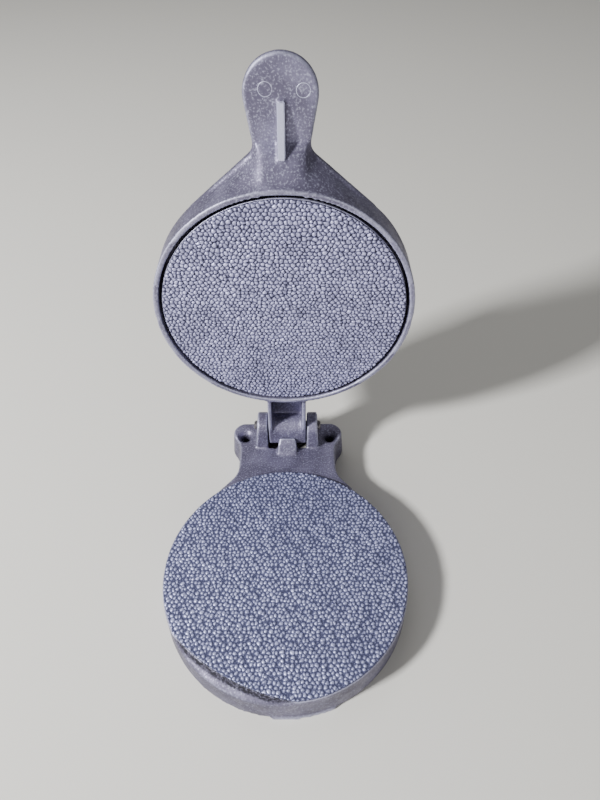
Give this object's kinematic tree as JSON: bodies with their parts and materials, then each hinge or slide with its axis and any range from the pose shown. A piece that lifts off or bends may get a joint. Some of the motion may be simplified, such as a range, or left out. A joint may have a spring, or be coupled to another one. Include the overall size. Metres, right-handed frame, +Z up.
{
  "type": "patty press",
  "caption": "Hinged cast aluminium hand press for round patties, with a pebbled base face, a ring-shaped lid with a paddle handle and a sprung pebbled ejector plate.",
  "frame": {"origin": "centre of the round base where it stands on the table, at the foot of the post under the pressing face", "axes": "+Z up from the table, +Y from the round base towards the hinge, +X to the right; the lid rests open"},
  "size_m": [0.1116, 0.1738, 0.2016],
  "materials": {
    "cast_aluminium": "dull oxidised sand-cast aluminium",
    "plate_aluminium": "dull cast aluminium with a pebbled face",
    "steel_pin": "dull drawn steel",
    "zinc_steel": "zinc-plated steel, aged",
    "spring_steel": "drawn spring wire",
    "turned_aluminium": "turned aluminium, dulled"
  },
  "bodies": {
    "base": {"base_casting": "cast_aluminium", "hinge_pin": "steel_pin"},
    "lid": {"lid_casting": "cast_aluminium", "spring_seat_washer": "zinc_steel", "ejector_spring": "spring_steel"},
    "ejector": {"ejector_plate": "plate_aluminium", "ejector_stem": "zinc_steel", "stem_jam_nut": "zinc_steel", "stop_washer": "zinc_steel", "knob_jam_nut": "zinc_steel", "release_knob": "turned_aluminium"}
  },
  "joints": [
    {"name": "lid_hinge", "type": "hinge", "parent": "base", "child": "lid", "pos_m": [0, 0.0796, 0.0254], "axis": [1, 0, 0], "range_deg": [0, 92]},
    {"name": "ejector_slide", "type": "slide", "parent": "lid", "child": "ejector", "axis": [0, 0.9994, -0.0349], "range_m": [0, 0.008], "stiffness_N_per_m": 500, "springref_m": -0.008, "deforming": ["ejector_spring"]}
  ]
}
